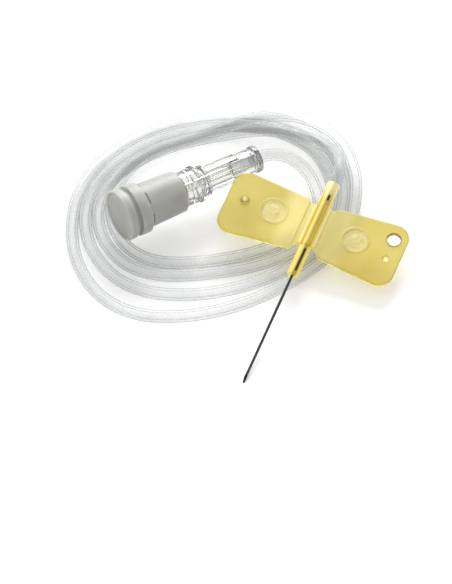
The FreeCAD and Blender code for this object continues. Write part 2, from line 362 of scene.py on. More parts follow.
@dataclass(frozen=True)
class ClearVinyl(Finish):
    """Soft clear tube: see-through in the middle, more opaque towards its edges, which are painted darker as
    shade.
    """

    tint: Colour = (0.86, 0.885, 0.875, 1)
    cloud: Colour = (0.80, 0.825, 0.82, 1)
    # Painted shade: the tube's edges turn to this darker colour where it is seen edge-on, standing in for the
    # dark lines of refraction.
    rim: Colour = (0.50, 0.53, 0.52, 1)
    middle: float = 0.1
    edge: float = 0.76
    slants: Spot = (0.25, 0.9)
    roughness: float = 0.18
    refraction: float = 1.5
    cloud_mm: float = 7.0
    cloud_levels: Spot = (0.35, 0.65)
    wave_mm: float = 3.0
    wave_depth_mm: float = 0.005

    def shade(self, graph: ShaderGraph) -> Wire:
        """Thin clear skin with slow clouds in its tint and roughness.

        Args:
            graph: The material's graph.

        Returns:
            The shader.
        """
        clouds = graph.ramp(graph.noise(self.cloud_mm), *self.cloud_levels)
        waves = graph.noise(self.wave_mm, 1.0)
        grazing = graph.grazing(*self.slants)
        return graph.principled(
            # Painted shade: darker towards the edges, where the tube is seen edge-on.
            Base_Color=graph.mix(grazing, graph.mix(clouds, self.tint, self.cloud), self.rim),
            Roughness=self.roughness + clouds * 0.06,
            Alpha=self.middle + grazing * (self.edge - self.middle) + clouds * 0.04,
            IOR=self.refraction,
            Normal=graph.bump(waves, self.wave_depth_mm),
        )


@dataclass(frozen=True)
class WingVinyl(Finish):
    """Moulded yellow vinyl that lets light through, paler beside the hub."""

    plan: WingPlan
    deep: Colour = (0.81, 0.68, 0.18, 1)
    pale: Colour = (0.86, 0.73, 0.22, 1)
    thin: Colour = (1.0, 0.91, 0.43, 1)
    frost: Colour = (0.90, 0.80, 0.42, 1)
    # Painted glow: a bright yellow along the lower part of the rounded edges, which also gives off light.
    edge: Colour = (0.95, 0.90, 0.20, 1)
    # Painted shade: a darker tone towards the wing's back, where the lamp behind lights it more.
    back: Colour = (0.70, 0.58, 0.14, 1)
    # Painted shade on the rounded edge slopes and the roundel's ring.
    outline: Colour = (0.32, 0.26, 0.06, 1)
    shade_in_hole: Colour = (0.10, 0.08, 0.02, 1)
    glint: Colour = (1.0, 0.98, 0.75, 1)
    # Painted glow: the lower edges, the root and the glints give off this light.
    glow: Colour = (0.20, 0.18, 0.03, 1)
    see_through: float = 0.75
    gloss: float = 0.1
    roughness: float = 0.3
    refraction: float = 1.5
    root_reach: Spot = (4.0, 6.4)
    root_share: float = 0.8
    root_painted_glow: float = 0.12
    back_shade_reach: Spot = (8.0, 15.0)
    back_shade_share: float = 0.6
    rim_slopes: Spot = (0.3, 0.95)
    painted_glow_rim: Spot = (0.05, 0.25)
    ring_margin: float = 0.2
    disc_margin: float = 0.35
    hole_margin: float = 0.08
    # Painted shade: squared distances from the peg over which its foot is darkened.
    peg_foot_shade: Spot = (0.3, 0.6)
    peg_tip: float = 0.03
    dimple_floor: float = 0.06
    cloud_mm: float = 3.5
    cloud_levels: Spot = (0.3, 0.7)
    grain_mm: float = 0.25
    pattern_mm: float = 0.55
    relief_mm: float = 0.14

    def shade(self, graph: ShaderGraph) -> Wire:
        """Translucent shader, with the root and roundel in their own tone, painted shade on the edge slopes,
        the roundel's ring and towards the back, and a painted glow along the lower rim.

        Args:
            graph: The material's graph.

        Returns:
            The shader.
        """
        plan = self.plan
        across, along, up = graph.local(plan.place)
        reach = across.size()
        roundel = graph.apart(reach, along, plan.roundel)
        ring = roundel.below((plan.roundel_radius + self.ring_margin) ** 2, 0.3)
        disc = roundel.below((plan.roundel_radius - self.disc_margin) ** 2, 0.6)
        hole = graph.apart(across, along, plan.hole).below((plan.hole_radius + self.hole_margin) ** 2, 0.1)
        peg = graph.apart(across, along, (-plan.peg[0], plan.peg[1]))
        peg_foot_shade = peg.within(*self.peg_foot_shade, 0.15)
        dimple = graph.apart(across, along, plan.dimple)
        glint = dimple.below(self.dimple_floor, 0.14) | peg.below(self.peg_tip, 0.08) * 0.6
        root = 1 - graph.ramp(reach, *self.root_reach)
        turned_away = 1 - graph.ramp(graph.facing(plan.place.col[2].xyz), *self.rim_slopes)
        edge = turned_away * (1 - graph.ramp(up, *self.painted_glow_rim)) * (1 - hole)
        clouds = graph.ramp(graph.noise(self.cloud_mm, 4.0), *self.cloud_levels)
        grain = graph.noise(self.grain_mm, 2.0)
        pattern = graph.noise(self.pattern_mm, 1.0)
        colour = graph.mix(clouds, self.deep, self.pale)
        # Painted shade, darker towards the back of the wing.
        colour = graph.mix(graph.ramp(along, *self.back_shade_reach) * self.back_shade_share, colour, self.back)
        colour = graph.mix(root * self.root_share, colour, self.thin)
        colour = graph.mix(disc * (0.4 + pattern * 0.6), colour, self.frost)
        # Painted shade where the surface slopes away at the edges and rings.
        colour = graph.mix(turned_away * (0.9 - ring * 0.6), colour, self.outline)
        # Painted glow along the lower part of the edges, leaving out the hole's wall.
        colour = graph.mix(edge, colour, self.edge)
        # Painted shade around the foot of the peg.
        colour = graph.mix(peg_foot_shade * 0.5, colour, self.outline)
        colour = graph.mix(glint, colour, self.glint)
        colour = graph.mix(hole, colour, self.shade_in_hole)
        return graph.principled(
            Base_Color=colour,
            Roughness=self.roughness + clouds * 0.08 + disc * 0.12,
            IOR=self.refraction,
            Transmission_Weight=self.see_through,
            Specular_IOR_Level=self.gloss,
            # Painted glow from the lower edges, the root and the glints.
            Emission_Color=graph.mix(edge | root * self.root_painted_glow | glint, BLACK, self.glow),
            Emission_Strength=1.0,
            Normal=graph.bump(grain * 0.1 + disc * pattern, self.relief_mm),
        )


@dataclass(frozen=True)
class HubVinyl(Finish):
    """Clear golden vinyl, deeper along the middle, with the needle dark inside it, painted shade along the
    ribs, painted highlights on the flanks and a painted glow.
    """

    place: Matrix
    slits: tuple[Spot, ...] = ()
    rib_shade_depth: float = 0.0
    # Painted glow: the vinyl gives off this light everywhere but the middle stripe.
    glow: Colour = (0.13, 0.10, 0.01, 1)
    gold: Colour = (0.92, 0.79, 0.25, 1)
    core: Colour = (0.62, 0.46, 0.05, 1)
    # Painted shade: the flanks of the sleeve's ribs turn to this darker colour.
    rib_shade: Colour = (0.46, 0.34, 0.04, 1)
    needle: Colour = (0.035, 0.022, 0.004, 1)
    # Paler where the sleeve's tail is thin over the tube, and a painted highlight along the sleeve's flanks.
    tail: Colour = (1.0, 0.95, 0.62, 1)
    tail_reach: Spot = (13.2, 16.5)
    flank_highlight_reach: Spot = (0.95, 1.2)
    pale_share: float = 0.8
    slit_sides: Spot = (0.1, 0.26)
    slit_heights: Spot = (0.0, 0.2)
    slit_fade: float = 0.35
    core_offset: float = 0.28
    core_sides: Spot = (0.12, 0.48)
    rib_shade_reach: Spot = (0.58, 0.74)
    top_heights: Spot = (0.0, 0.3)
    see_through: float = 0.4
    roughness: float = 0.14
    refraction: float = 1.45
    wave_mm: float = 1.4
    wave_depth_mm: float = 0.02

    def shade(self, graph: ShaderGraph) -> Wire:
        """Translucent shader with a deep stripe and dark slits along the top.

        Args:
            graph: The material's graph.

        Returns:
            The shader.
        """
        across, along, up = graph.local(self.place)
        apart = (across - self.core_offset).size()
        on_top = graph.ramp(up, *self.top_heights)
        stripe = (1 - graph.ramp(apart, *self.core_sides)) * on_top
        waves = graph.noise(self.wave_mm, stretch=(1, 0.4, 1))
        colour = graph.mix(stripe * (0.4 + waves * 0.8), self.gold, self.core)
        # Painted shade in lines along the flanks of the sleeve's ribs.
        rib_shade_lines = across.size().within(*self.rib_shade_reach, 0.1) * on_top
        colour = graph.mix(rib_shade_lines * self.rib_shade_depth, colour, self.rib_shade)
        # Paler along the thin tail, and painted highlight along the flanks.
        pale = graph.ramp(along, *self.tail_reach) | graph.ramp(across.size(), *self.flank_highlight_reach)
        colour = graph.mix(pale * self.pale_share, colour, self.tail)
        for start, end in self.slits:
            slit = (1 - graph.ramp(apart, *self.slit_sides)) * along.within(start, end, self.slit_fade)
            colour = graph.mix(slit * graph.ramp(up, *self.slit_heights), colour, self.needle)
        return graph.principled(
            Base_Color=colour,
            Roughness=self.roughness + waves * 0.08,
            IOR=self.refraction,
            Transmission_Weight=self.see_through,
            # Painted glow everywhere but the middle stripe.
            Emission_Color=graph.mix(stripe, self.glow, BLACK),
            Emission_Strength=1.0,
            Normal=graph.bump(waves, self.wave_depth_mm),
        )


@dataclass(frozen=True)
class ClearPlastic(Finish):
    """Hard clear moulding with faint flow lines, and painted shade at its edges, its tube socket's rim and its
    flange.
    """

    place: Matrix
    # Painted shade: bands along the moulding, at the tube socket's rim and at the flange, that are darkened.
    shaded_bands: tuple[Spot, ...] = ((0.0, 0.7), (9.25, 9.7))
    tint: Colour = (0.82, 0.825, 0.82, 1)
    # Painted shade: the dark colour of the shaded bands and of the edges seen edge-on.
    rim: Colour = (0.22, 0.23, 0.23, 1)
    slants: Spot = (0.45, 1.0)
    band_shade_share: float = 0.7
    refraction: float = 1.57
    roughness: float = 0.03
    flow_mm: float = 2.2
    flow_depth_mm: float = 0.01
    mark_mm: float = 0.5
    mark_levels: Spot = (0.55, 0.75)

    def shade(self, graph: ShaderGraph) -> Wire:
        """Clear shader with a slow ripple and fine handling marks.

        Args:
            graph: The material's graph.

        Returns:
            The shader.
        """
        flow = graph.noise(self.flow_mm, 2.0)
        marks = graph.ramp(graph.noise(self.mark_mm, 5.0), *self.mark_levels)
        _, along, _ = graph.local(self.place)
        dark = graph.grazing(*self.slants)
        # Painted shade on the socket rim and flange bands, and where the moulding is seen edge-on.
        for start, end in self.shaded_bands:
            dark = dark | along.within(start, end, 0.1) * self.band_shade_share
        return graph.principled(
            Base_Color=graph.mix(dark, self.tint, self.rim),
            Roughness=self.roughness + marks * 0.08,
            IOR=self.refraction,
            Transmission_Weight=1.0,
            Normal=graph.bump(flow, self.flow_depth_mm),
        )


@dataclass(frozen=True)
class GreyPlastic(Finish):
    """Milky grey moulding, a little see-through where it is thin."""

    body: Colour = (0.43, 0.43, 0.395, 1)
    pale: Colour = (0.49, 0.49, 0.465, 1)
    roughness: float = 0.4
    refraction: float = 1.5
    milkiness: float = 0.5
    glow_depth_mm: float = 1.5
    cloud_mm: float = 4.0
    cloud_levels: Spot = (0.3, 0.7)
    scuff_mm: float = 0.35
    scuff_levels: Spot = (0.5, 0.8)
    scuff_depth_mm: float = 0.006

    def shade(self, graph: ShaderGraph) -> Wire:
        """Soft grey shader with cloudy colour and fine scuffs.

        Args:
            graph: The material's graph.

        Returns:
            The shader.
        """
        clouds = graph.ramp(graph.noise(self.cloud_mm), *self.cloud_levels)
        scuffs = graph.ramp(graph.noise(self.scuff_mm, 5.0), *self.scuff_levels)
        return graph.principled(
            Base_Color=graph.mix(clouds, self.body, self.pale),
            Roughness=self.roughness + scuffs * 0.15,
            IOR=self.refraction,
            Subsurface_Weight=self.milkiness,
            Subsurface_Radius=(1, 1, 1),
            Subsurface_Scale=self.glow_depth_mm * MM,
            Normal=graph.bump(scuffs, self.scuff_depth_mm),
        )


@dataclass(frozen=True)
class NeedleSteel(Finish):
    """Drawn steel wire, dark and smooth, with fine lines along it and a painted reflection along its sides."""

    bright: Colour = (0.10, 0.10, 0.105, 1)
    dull: Colour = (0.03, 0.03, 0.033, 1)
    # Painted reflection: the needle's sides, where it is seen edge-on, turn to this pale colour.
    sides: Colour = (0.62, 0.63, 0.65, 1)
    slants: Spot = (0.3, 0.85)
    roughness: float = 0.26
    line_mm: float = 0.12
    line_depth_mm: float = 0.002

    def shade(self, graph: ShaderGraph) -> Wire:
        """Metal shader with lines drawn out along the needle.

        Args:
            graph: The material's graph.

        Returns:
            The shader.
        """
        lines = graph.noise(self.line_mm, stretch=(1, 0.03, 1))
        wire = graph.mix(lines, self.dull, self.bright)
        return graph.principled(
            # Painted reflection: paler where the needle is seen edge-on.
            Base_Color=graph.mix(graph.grazing(*self.slants), wire, self.sides),
            Roughness=self.roughness + lines * 0.12,
            Metallic=1.0,
            Normal=graph.bump(lines, self.line_depth_mm),
        )


@dataclass(frozen=True)
class WhiteTable(Finish):
    """Pale table that shows as white and still takes the shadow."""

    paint: Colour = (0.86, 0.86, 0.86, 1)
    lift: float = 0.26

    def shade(self, graph: ShaderGraph) -> Wire:
        """Plain matt shader, lifted to white where it is looked at.

        Args:
            graph: The material's graph.

        Returns:
            The shader.
        """
        matt = graph.wire("ShaderNodeBsdfDiffuse", 0, Color=self.paint)
        lift = seen_directly(graph) * self.lift
        glow = graph.wire("ShaderNodeEmission", 0, Color=WHITE, Strength=lift)
        return graph.wire("ShaderNodeAddShader", 0, _0=matt, _1=glow)


def seen_directly(graph: ShaderGraph) -> Wire:
    """A mask for what the camera sees, also in metal or through glass.

    Args:
        graph: The material's graph.

    Returns:
        1 for a ray that the camera sees, 0 for one that only carries light.
    """
    path = graph.node("ShaderNodeLightPath")
    camera, glossy, transmission = (
        Wire(graph, path.outputs[name]) for name in ("Is Camera Ray", "Is Glossy Ray", "Is Transmission Ray")
    )
    return camera | glossy | transmission


# Meshes


def rounded(points: Sequence[Spot], radius: float, steps: int = 3) -> list[Spot]:
    """Round the inner corners of an open outline.

    Args:
        points: Corners as (radius, place) pairs.
        radius: Largest rounding radius.
        steps: Points on each rounding, less one.

    Returns:
        The outline with each corner turned into a short curve.
    """
    almost_half = 0.49
    outline = [points[0]]
    for before, corner, after in zip(points, points[1:], points[2:]):
        here = Vector(corner)
        back = Vector(before) - here
        ahead = Vector(after) - here
        cut = min(radius, almost_half * back.length, almost_half * ahead.length)
        start = here + back.normalized() * cut
        end = here + ahead.normalized() * cut
        for step in range(steps + 1):
            share = step / steps
            low = start.lerp(here, share)
            high = here.lerp(end, share)
            outline.append(tuple(low.lerp(high, share)))
    outline.append(points[-1])
    return outline


def ring_of_columns(count: int) -> list[float]:
    """Evenly spaced angles around a turn, in radians."""
    return [2 * math.pi * index / count for index in range(count)]


def turned(
    outline: Sequence[Spot], columns: int, relief: Relief = lambda angle, place: 0.0, skin: float = 0.0
) -> bmesh.types.BMesh:
    """Turn a closed outline about the local Y axis.

    Args:
        outline: Points as (radius, place along Y), in millimetres.
        columns: How many lengthwise rows of points there are, the first at the top.
        relief: Extra radius at an angle and place, in millimetres.
        skin: Least radius that the relief applies to.

    Returns:
        The turned surface in millimetres.
    """
    mesh = bmesh.new()
    rows = []
    for radius, place in outline:
        row = []
        for angle in ring_of_columns(columns):
            reach = radius + (relief(angle, place) if radius >= skin else 0)
            row.append(mesh.verts.new((reach * math.sin(angle), place, reach * math.cos(angle))))
        rows.append(row)
    for low, high in zip(rows, [*rows[1:], rows[0]]):
        join_loops(mesh, low, high)
    bmesh.ops.recalc_face_normals(mesh, faces=mesh.faces)
    return mesh


def join_loops(
    mesh: bmesh.types.BMesh, low: Sequence[bmesh.types.BMVert], high: Sequence[bmesh.types.BMVert]
) -> None:
    """Join two closed loops with a band of faces.

    Args:
        mesh: The mesh that holds both.
        low: The first loop.
        high: The second loop, with as many points.
    """
    for index in range(len(low)):
        ahead = (index + 1) % len(low)
        mesh.faces.new((low[index], low[ahead], high[ahead], high[index]))


def bell(distance: float, half_width: float, shoulder: float) -> float:
    """1 within half_width, falling smoothly to 0 over the shoulder."""
    share = min(1.0, max(0.0, (half_width + shoulder - abs(distance)) / shoulder))
    return share * share * (3 - 2 * share)


def turn_apart(first: float, second: float) -> float:
    """The smaller angle between two directions, in radians."""
    return abs((first - second + math.pi) % (2 * math.pi) - math.pi)


def finish_mesh(mesh: bmesh.types.BMesh, name: str, place: Matrix) -> bpy.types.Object:
    """Turn a mesh in millimetres into an object in metres in the row frame.

    Args:
        mesh: The mesh, which is freed.
        name: The piece's name.
        place: Where the mesh's own frame lies, in metres.

    Returns:
        The new object.
    """
    data = bpy.data.meshes.new(name)
    mesh.to_mesh(data)
    mesh.free()
    data.transform(place @ Matrix.Scale(MM, 4))
    data.shade_smooth()
    data.set_sharp_from_angle(angle=SHARP_EDGE)
    piece = bpy.data.objects.new(name, data)
    bpy.context.scene.collection.objects.link(piece)
    return piece


def dress(piece: bpy.types.Object, finish: Finish) -> bpy.types.Object:
    """Give a piece its finish.

    Args:
        piece: The piece.
        finish: The finish that its material is made from.

    Returns:
        The same piece.
    """
    piece.data.materials.clear()
    piece.data.materials.append(finish.material())
    log.info("%s: %s", piece.name, finish.name)
    return piece


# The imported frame


@dataclass
class FrameGuide:
    """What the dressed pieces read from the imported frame."""

    frame: dict

    def mount(self, name: str) -> tuple[Vector, Vector]:
        """Place and direction of a mount of the record."""
        found = next(entry for entry in self.frame["record"]["mounts"] if entry["name"] == name)
        return Vector(found["pos_m"]), Vector(found["axis"]).normalized()

    def joint_place(self, name: str) -> Vector:
        """A point on a hinge's axis."""
        found = next(entry for entry in self.frame["joints"] if entry["name"] == name)
        return Vector(found["pos_m"])

    def hub_place(self, nose_to_mount: float) -> Matrix:
        """Frame of the hub: Y back along the needle from the nose, Z up from the wings.

        Args:
            nose_to_mount: How far behind the nose the hub's mount lies, in mm.

        Returns:
            The frame's matrix.
        """
        centre, forward = self.mount("hub_nose")
        back = -forward
        across = (self.joint_place("right_wing_fold") - self.joint_place("left_wing_fold")).normalized()
        return axes_matrix(across, back, centre - back * nose_to_mount * MM)

    def fitting_place(self, mouth_to_luer: float) -> Matrix:
        """Frame of the connector: Y from its tube socket towards the cap.

        Args:
            mouth_to_luer: How far the luer mouth lies from the tube socket's.

        Returns:
            The frame's matrix.
        """
        luer, along = self.mount("luer_socket")
        across = along.cross(Vector((0, 0, 1))).normalized()
        return axes_matrix(across, along, luer - along * mouth_to_luer * MM)


def axes_matrix(across: Vector, along: Vector, origin: Vector) -> Matrix:
    """Matrix of a frame.

    Args:
        across: Its X direction.
        along: Its Y direction.
        origin: Its origin, in metres.

    Returns:
        The matrix.
    """
    up = across.cross(along).normalized()
    turn = Matrix((across, along, up)).transposed()
    return Matrix.Translation(origin) @ turn.to_4x4()


# Needle, hub and sleeve


@dataclass
class Hub:
    """Steel needle in its yellow hub, and the sleeve that carries the wings."""

    place: Matrix
    nose_to_mount: float = 2.8
    nose_length: float = 5.4
    sleeve_length: float = 7.6
    spigot_length: float = 4.5
    nose_radius: float = 0.9
    core_radius: float = 0.76
    spigot_radius: float = 0.62
    needle_grip_radius: float = 0.225
    needle_held: float = 14.0
    lumen_radius: float = 0.12
    edge_round: float = 0.32
    round_steps: int = 4
    hub_columns: int = 40
    nose_slit: Spot = (0.7, 4.6)
    # Painted glow of the nose.
    nose_painted_glow: Colour = (0.20, 0.16, 0.03, 1)
    sleeve_radius: float = 1.03
    sleeve_rows: tuple[float, ...] = (0.06, 0.1, 0.5, 0.9, 0.94)
    sleeve_round: float = 0.15
    sleeve_columns: int = 128
    sleeve_slit: Spot = (13.9, 14.6)
    end_margin: float = 0.35
    end_fade: float = 0.3
    rib_angle: float = math.radians(38)
    rib_half_width: float = 0.12
    rib_fade: float = 0.12
    rib_raise: float = 0.14
    skirt_half_width: float = 0.2
    skirt_fade: float = 0.35
    skirt_raise: float = 0.34
    tail_radius: float = 1.01
    tail_bore: float = 0.955
    tail_length: float = 4.2
    tail_step: float = 0.15

    @property
    def sleeve_back(self) -> float:
        """Where the sleeve ends, behind the nose."""
        return self.nose_length + self.sleeve_length

    def build(self, needle: bpy.types.Object) -> None:
        """Build the hub and the sleeve, and finish the needle.

        Args:
            needle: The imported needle, which keeps its solid's shape.
        """
        hub_finish = HubVinyl("hub_vinyl", self.place, slits=(self.nose_slit,), glow=self.nose_painted_glow)
        sleeve_finish = HubVinyl(
            "sleeve_vinyl",
            self.place,
            slits=(self.sleeve_slit,),
            rib_shade_depth=0.8,
            see_through=0.3,
            roughness=0.2,
        )
        hub = dress(self.hub_piece(), hub_finish)
        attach(hub, Body.BASE.value)
        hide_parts("needle_hub")
        sleeve = dress(self.sleeve_piece(), sleeve_finish)
        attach(sleeve, Body.BASE.value)
        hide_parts("wing_sleeve")
        dress(needle, NeedleSteel("needle_steel"))

    def hub_piece(self) -> bpy.types.Object:
        """Nose, core and spigot in one, around the needle.

        Returns:
            The hub.
        """
        back = self.sleeve_back + self.spigot_length
        outside = rounded(
            [
                (self.needle_grip_radius, 0),
                (self.nose_radius, 0),
                (self.nose_radius, self.nose_length),
                (self.core_radius, self.nose_length),
                (self.core_radius, self.sleeve_back),
                (self.spigot_radius, self.sleeve_back),
                (self.spigot_radius, back),
                (self.lumen_radius, back),
            ],
            self.edge_round,
            self.round_steps,
        )
        inside = [(self.lumen_radius, self.needle_held), (self.needle_grip_radius, self.needle_held)]
        return finish_mesh(turned([*outside, *inside], self.hub_columns), "needle_hub_body", self.place)

    def sleeve_relief(self, angle: float, place: float) -> float:
        """Two ribs on top, and a skirt on each side that runs into the web.

        Args:
            angle: Direction around the sleeve, 0 at the top.
            place: Place along it, in millimetres.

        Returns:
            Extra radius in millimetres.
        """
        half = self.sleeve_length / 2
        ends = bell(place - self.nose_length - half, half - self.end_margin, self.end_fade)
        height = 0.0
        for side in Side:
            rib = turn_apart(angle, side.value * self.rib_angle) * self.sleeve_radius
            skirt = turn_apart(angle, side.value * math.pi / 2) * self.sleeve_radius
            height = max(height, self.rib_raise * bell(rib, self.rib_half_width, self.rib_fade) * ends)
            height = max(height, self.skirt_raise * bell(skirt, self.skirt_half_width, self.skirt_fade) * ends)
        return height

    def sleeve_piece(self) -> bpy.types.Object:
        """Sleeve around the hub's core, with a thin tail over the tube's end.

        Returns:
            The sleeve.
        """
        tail_end = self.sleeve_back + self.tail_length
        rows = [self.nose_length + self.sleeve_length * share for share in self.sleeve_rows]
        outline = rounded(
            [
                (self.core_radius, self.nose_length),
                (self.sleeve_radius, self.nose_length),
                *((self.sleeve_radius, row) for row in rows),
                (self.sleeve_radius, self.sleeve_back),
                (self.tail_radius, self.sleeve_back + self.tail_step),
                (self.tail_radius, tail_end),
                (self.tail_bore, tail_end),
                (self.tail_bore, self.sleeve_back + 0.02),
                (self.core_radius, self.sleeve_back + 0.02),
            ],
            self.sleeve_round,
        )
        mesh = turned(outline, self.sleeve_columns, self.sleeve_relief, self.sleeve_radius - 0.05)
        return finish_mesh(mesh, "wing_sleeve_body", self.place)


# Wings


@dataclass
class WingPlan:
    """Sizes that both wings share, measured in the hub's frame."""

    place: Matrix
    hinge_offset: float = 1.5
    tip: float = 14.1
    root: float = 2.0
    root_front: float = 4.2
    root_back: float = 13.4
    tip_front: float = 2.85
    tip_back: float = 14.5
    tip_corner: float = 2.4
    root_corner: float = 0.8
    half_thickness: float = 0.35
    corner_steps: int = 12
    edge_round: float = 0.32
    edge_steps: int = 4
    hole_round: float = 0.12
    flat_band: float = 0.08
    web_front: Spot = (5.6, 4.8)
    web_back: Spot = (12.8, 13.0)
    web_start: float = 0.9
    web_end: float = 2.12
    web_thin: float = 0.1
    web_thick: float = 0.27
    web_edge: float = 0.35
    web_columns: int = 17
    web_lines: int = 9
    bend_reach: float = 0.35
    roundel: Spot = (6.6, 9.2)
    roundel_radius: float = 2.25
    roundel_ring: float = 0.3
    roundel_raise: float = 0.15
    hole: Spot = (11.9, 11.6)
    hole_radius: float = 1.05
    dimple: Spot = (11.95, 8.05)
    dimple_steps: tuple[Spot, ...] = ((0.6, 0), (0.5, -0.06), (0.42, -0.2), (0.3, -0.3), (0.1, -0.32))
    peg: Spot = (11.3, 9.35)
    peg_steps: tuple[Spot, ...] = ((0.7, 0), (0.57, 0.06), (0.54, 0.3), (0.5, 0.42), (0.4, 0.49), (0.15, 0.5))


class WingMesh:
    """Builds one wing's plate out of closed loops of points."""

    def __init__(self, plan: WingPlan, side: Side) -> None:
        """Start an empty plate.

        Args:
            plan: The wing's sizes.
            side: Which of the two wings it is.
        """
        self.plan = plan
        self.side = side
        self.mesh = bmesh.new()
        self.flat_edges: dict[int, list[bmesh.types.BMEdge]] = {1: [], -1: []}

    def loop(self, points: Iterable[Point]) -> list[bmesh.types.BMVert]:
        """Add one loop of points."""
        return [self.mesh.verts.new((x * self.side.value, y, z)) for x, y, z in points]

    def skin(self, loops: Sequence[list[bmesh.types.BMVert]]) -> None:
        """Join neighbouring loops with faces."""
        for low, high in zip(loops, loops[1:]):
            join_loops(self.mesh, low, high)

    def border(self, loop: list[bmesh.types.BMVert], face: int) -> None:
        """Note a loop as a border of the flat top (1) or bottom (-1)."""
        pairs = zip(loop, [*loop[1:], loop[0]])
        self.flat_edges[face].extend(self.mesh.edges.get(pair) for pair in pairs)

    def outline(self, inset: float) -> list[Spot]:
        """The wing's rounded outline.

        Args:
            inset: How far it is moved inwards, in millimetres.

        Returns:
            Points as (across, along) pairs.
        """
        plan = self.plan
        corners = [
            (Vector((plan.root, plan.root_front)), plan.root_corner),
            (Vector((plan.tip, plan.tip_front)), plan.tip_corner),
            (Vector((plan.tip, plan.tip_back)), plan.tip_corner),
            (Vector((plan.root, plan.root_back)), plan.root_corner),
        ]
        points = []
        for index, (corner, radius) in enumerate(corners):
            before = (corners[index - 1][0] - corner).normalized()
            after = (corners[(index + 1) % len(corners)][0] - corner).normalized()
            half = before.angle(after) / 2
            centre = corner + (before + after).normalized() * radius / math.sin(half)
            touch = radius / math.tan(half)
            from_side = corner + before * touch - centre
            to_side = corner + after * touch - centre
            start = math.atan2(from_side.y, from_side.x)
            end = math.atan2(to_side.y, to_side.x)
            sweep = (end - start + math.pi) % (2 * math.pi) - math.pi
            for step in range(plan.corner_steps + 1):
                angle = start + sweep * step / plan.corner_steps
                reach = radius - inset
                points.append((centre.x + reach * math.cos(angle), centre.y + reach * math.sin(angle)))
        return points

    def rim(self, outline_at: Callable[[float], list[Spot]], rounding: float) -> None:
        """Round edge from the top face over the side to the bottom face.

        Args:
            outline_at: Gives the edge's outline, moved into the plate.
            rounding: Radius of the edge's rounding.
        """
        plan = self.plan
        loops = []
        for face in (1, -1):
            for step in range(plan.edge_steps + 1):
                share = step / plan.edge_steps
                angle = math.pi / 2 * (1 - share if face == 1 else share)
                inset = rounding * (1 - math.cos(angle))
                height = face * (plan.half_thickness - rounding * (1 - math.sin(angle)))
                loops.append(self.loop((x, y, height) for x, y in outline_at(inset)))
            inner = outline_at(rounding + plan.flat_band)
            flat = self.loop((x, y, face * plan.half_thickness) for x, y in inner)
            loops.insert(0 if face == 1 else len(loops), flat)
        self.skin(loops)
        self.border(loops[0], 1)
        self.border(loops[-1], -1)

    def circle(self, centre: Spot, radius: float, count: int = 36) -> list[Spot]:
        """Points of a circle on the wing."""
        turn = ring_of_columns(count)
        return [(centre[0] + radius * math.cos(angle), centre[1] + radius * math.sin(angle)) for angle in turn]

    def hole(self, centre: Spot, radius: float) -> None:
        """Round hole with rounded edges."""
        self.rim(lambda inset: self.circle(centre, radius + inset), self.plan.hole_round)

    def raised(self, centre: Spot, steps: Sequence[Spot]) -> None:
        """Round feature on top, as a run of circles that ends in a small flat disc.

        Args:
            centre: Middle of the feature.
            steps: Radius of each circle and its height above the plate.
        """
        top = self.plan.half_thickness
        loops = []
        for radius, height in [(steps[0][0] + self.plan.flat_band, 0), *steps]:
            loops.append(self.loop((x, y, top + height) for x, y in self.circle(centre, radius)))
        self.skin(loops)
        self.border(loops[0], 1)
        self.mesh.faces.new(loops[-1])

    def fill(self) -> bmesh.types.BMesh:
        """Close the flat faces between the noted borders.

        Returns:
            The finished mesh.
        """
        for face, edges in self.flat_edges.items():
            bmesh.ops.triangle_fill(self.mesh, use_beauty=True, edges=edges, normal=(0, 0, face))
        bmesh.ops.recalc_face_normals(self.mesh, faces=self.mesh.faces)
        return self.mesh


